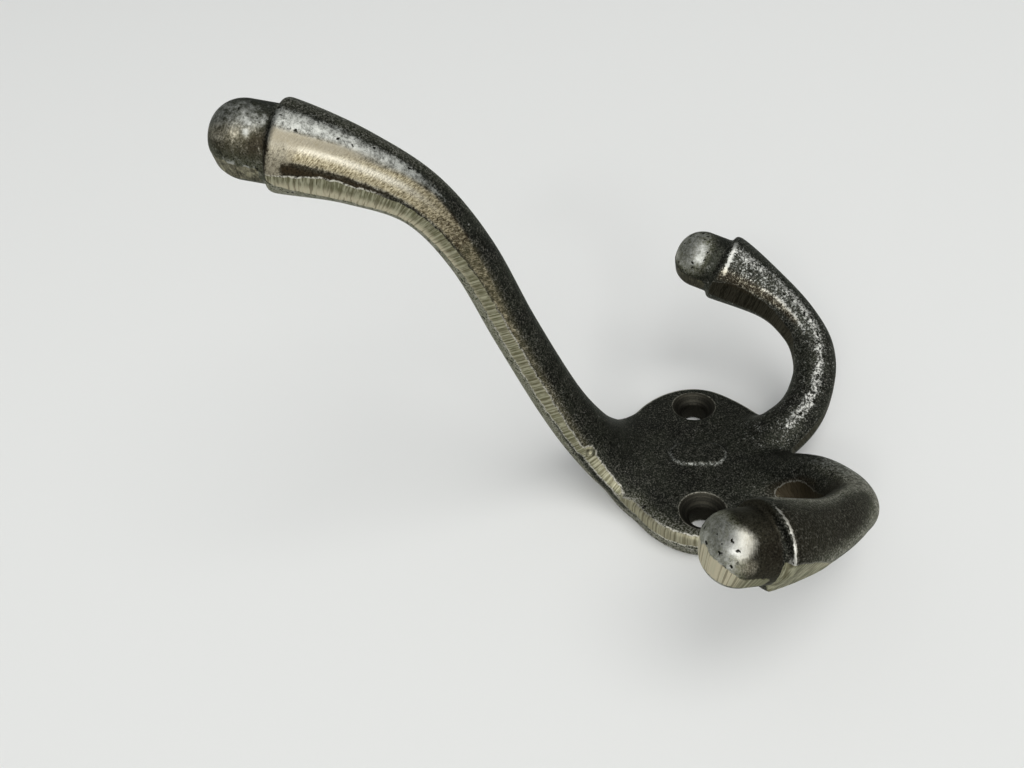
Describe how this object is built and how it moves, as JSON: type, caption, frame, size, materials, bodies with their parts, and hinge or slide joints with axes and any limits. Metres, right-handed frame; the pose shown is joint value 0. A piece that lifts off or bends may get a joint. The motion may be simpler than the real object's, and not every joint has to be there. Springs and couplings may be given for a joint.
{
  "type": "coat hook",
  "caption": "Cast-iron wall coat hook: screw-on back plate, long curved hat arm above and short side arms below, each ending in a rounded collar and acorn tip.",
  "frame": {"origin": "on the flat back of the plate, midway between the screw holes", "axes": "+Z away from the wall, +Y up the wall along the hat arm, +X across to one side arm"},
  "size_m": [0.109, 0.128, 0.0993],
  "materials": {
    "cast_iron": "burnished black cast iron, worn silver on the ridges, with ground parting lines and machined screw seats"
  },
  "bodies": {
    "root": {"hook_casting": "cast_iron"}
  },
  "joints": []
}
